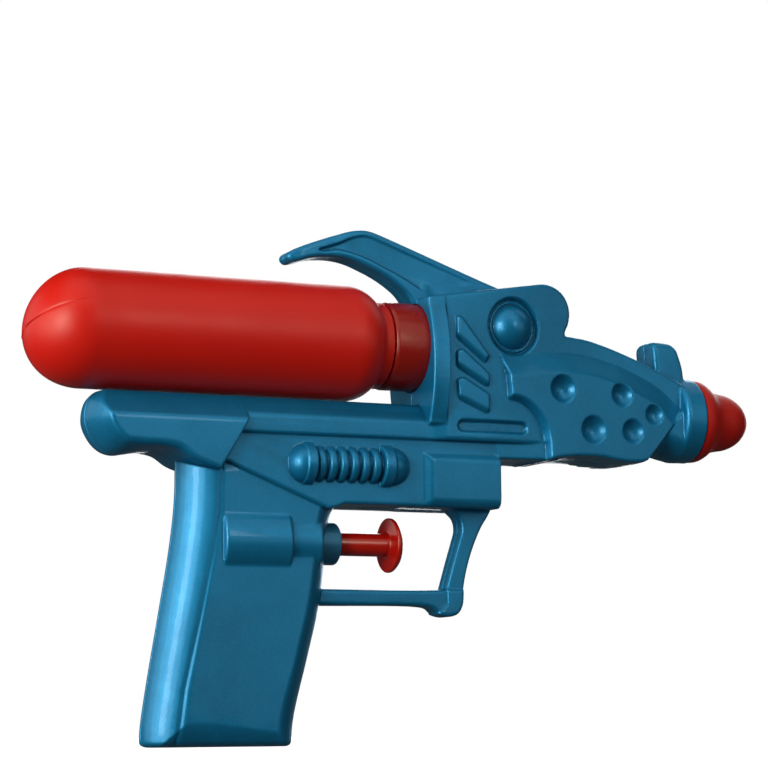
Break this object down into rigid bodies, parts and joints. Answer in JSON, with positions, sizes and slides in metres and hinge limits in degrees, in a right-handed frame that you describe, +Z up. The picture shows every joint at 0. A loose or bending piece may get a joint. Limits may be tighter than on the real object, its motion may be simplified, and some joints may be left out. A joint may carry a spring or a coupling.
{
  "type": "water squirter",
  "caption": "Hand-held toy water squirter: two-part pistol-shaped shell, screw-in rear water bottle, push-button trigger pump with check valves, tubes and a nozzle.",
  "frame": {"origin": "centre of the flat grip base, on the mid-plane", "axes": "+X towards the nozzle along the bottle axis, +Y to the squirter's left side, +Z up out of the grip"},
  "size_m": [0.2111, 0.0304, 0.1338],
  "materials": {
    "blue_plastic": "pearl blue moulded plastic, satin",
    "red_bottle": "satin red blow-moulded polyethylene",
    "dark_red_plastic": "satin dark red moulded plastic",
    "red_plastic": "glossy red moulded plastic",
    "white_plastic": "natural white moulded plastic",
    "clear_tube": "milky soft tube",
    "black_rubber": "soft black rubber",
    "screw_steel": "zinc-plated screw",
    "spring_steel": "bright spring wire",
    "ball_steel": "polished steel ball"
  },
  "bodies": {
    "root": {"right_shell": "blue_plastic", "left_shell": "blue_plastic", "shell_screws": "screw_steel", "bottle_cap": "dark_red_plastic", "dip_tube": "clear_tube", "inlet_valve_body": "white_plastic", "suction_tube": "clear_tube", "tee_fitting": "white_plastic", "pump_tube": "clear_tube", "pump_barrel": "white_plastic", "pump_gland": "blue_plastic", "return_spring": "spring_steel", "pressure_tube": "clear_tube", "outlet_valve_body": "white_plastic", "outlet_spring": "spring_steel", "nozzle": "red_plastic"},
    "trigger": {"trigger": "red_plastic", "piston": "white_plastic", "piston_seal": "black_rubber"},
    "bottle_seal": {"bottle_seal": "black_rubber"},
    "bottle": {"bottle": "red_bottle"},
    "inlet_ball": {"inlet_ball": "ball_steel"},
    "outlet_ball": {"outlet_ball": "ball_steel"}
  },
  "joints": [
    {"name": "trigger_press", "type": "slide", "parent": "root", "child": "trigger", "axis": [-1, 0, 0], "range_m": [0, 0.011], "stiffness_N_per_m": 120, "springref_m": -0.006, "deforming": ["return_spring"]},
    {"name": "bottle_back_off", "type": "slide", "parent": "root", "child": "bottle_seal", "axis": [-1, 0, 0], "range_m": [0, 0.006]},
    {"name": "bottle_unscrew", "type": "hinge", "parent": "bottle_seal", "child": "bottle", "pos_m": [0, 0, 0.104], "axis": [-1, 0, 0], "range_deg": [0, 720]},
    {"name": "inlet_ball_lift", "type": "slide", "parent": "root", "child": "inlet_ball", "axis": [1, 0, 0], "range_m": [0, 0.001]},
    {"name": "outlet_ball_lift", "type": "slide", "parent": "root", "child": "outlet_ball", "axis": [1, 0, 0], "range_m": [0, 0.001], "stiffness_N_per_m": 60, "springref_m": -0.002, "deforming": ["outlet_spring"]}
  ],
  "couplings": [
    {"joint": "bottle_back_off", "follows": "bottle_unscrew", "m_per_rad": 0.00047746}
  ]
}
